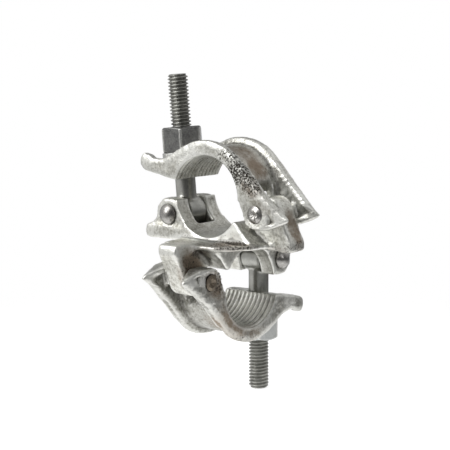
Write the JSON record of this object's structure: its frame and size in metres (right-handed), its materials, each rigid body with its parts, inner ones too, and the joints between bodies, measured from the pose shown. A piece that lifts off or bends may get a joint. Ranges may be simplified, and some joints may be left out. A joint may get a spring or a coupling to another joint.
{
  "type": "scaffold coupler",
  "caption": "Forged right-angle scaffold coupler: a body with crossed tube seats, hinged caps, swing eyebolts, washers and nuts.",
  "frame": {"origin": "middle of the upper tube seat, on the axis of the upper tube, straight above the middle of the body", "axes": "+Z from the lower tube to the upper tube; +Y along the upper tube; +X along the lower tube, from the upper clamp's bolt to its hinge"},
  "size_m": [0.1096, 0.1096, 0.199],
  "materials": {
    "forging": "hot-dip galvanised drop forging, softly uneven, satin",
    "bolt": "zinc plated, rolled thread",
    "nut": "zinc plated, grained flats",
    "washer": "bright zinc",
    "rivet": "plain steel, peened"
  },
  "bodies": {
    "body": {"body": "forging", "upper_bolt_pin": "rivet", "lower_bolt_pin": "rivet", "upper_hinge_pin": "rivet", "lower_hinge_pin": "rivet"},
    "upper_cap": {"upper_cap": "forging"},
    "upper_eyebolt": {"upper_eyebolt": "bolt"},
    "upper_washer": {"upper_washer": "washer"},
    "upper_nut": {"upper_nut": "nut"},
    "lower_cap": {"lower_cap": "forging"},
    "lower_eyebolt": {"lower_eyebolt": "bolt"},
    "lower_washer": {"lower_washer": "washer"},
    "lower_nut": {"lower_nut": "nut"}
  },
  "joints": [
    {"name": "upper_cap_open", "type": "hinge", "parent": "body", "child": "upper_cap", "pos_m": [0.0364, 0, -0.0079], "axis": [0, 1, 0], "range_deg": [0, 28]},
    {"name": "upper_bolt_swing", "type": "hinge", "parent": "body", "child": "upper_eyebolt", "pos_m": [-0.0314, 0, -0.01305], "axis": [0, -1, 0], "range_deg": [0, 84]},
    {"name": "upper_nut_travel", "type": "slide", "parent": "upper_eyebolt", "child": "upper_washer", "axis": [-0.0872, 0, 0.9962], "range_m": [0, 0.032]},
    {"name": "upper_nut_turn", "type": "hinge", "parent": "upper_washer", "child": "upper_nut", "pos_m": [-0.03489, 0, 0.0268], "axis": [-0.0872, 0, 0.9962], "range_deg": [0, 5443]},
    {"name": "lower_cap_open", "type": "hinge", "parent": "body", "child": "lower_cap", "pos_m": [0, -0.0364, -0.0471], "axis": [-1, 0, 0], "range_deg": [0, 28]},
    {"name": "lower_bolt_swing", "type": "hinge", "parent": "body", "child": "lower_eyebolt", "pos_m": [0, 0.0314, -0.04195], "axis": [1, 0, 0], "range_deg": [0, 84]},
    {"name": "lower_nut_travel", "type": "slide", "parent": "lower_eyebolt", "child": "lower_washer", "axis": [0, 0, -1], "range_m": [0, 0.032]},
    {"name": "lower_nut_turn", "type": "hinge", "parent": "lower_washer", "child": "lower_nut", "pos_m": [0, 0.0314, -0.08195], "axis": [0, 0, -1], "range_deg": [0, 5443]}
  ],
  "couplings": [
    {"joint": "upper_nut_turn", "follows": "upper_nut_travel", "rad_per_m": 2968.4},
    {"joint": "upper_cap_open", "follows": "upper_nut_travel", "rad_per_m": 15.272},
    {"joint": "upper_bolt_swing", "follows": "upper_nut_travel", "rad_per_m": 45.815},
    {"joint": "lower_nut_turn", "follows": "lower_nut_travel", "rad_per_m": 2968.4},
    {"joint": "lower_cap_open", "follows": "lower_nut_travel", "rad_per_m": 15.272},
    {"joint": "lower_bolt_swing", "follows": "lower_nut_travel", "rad_per_m": 45.815}
  ]
}
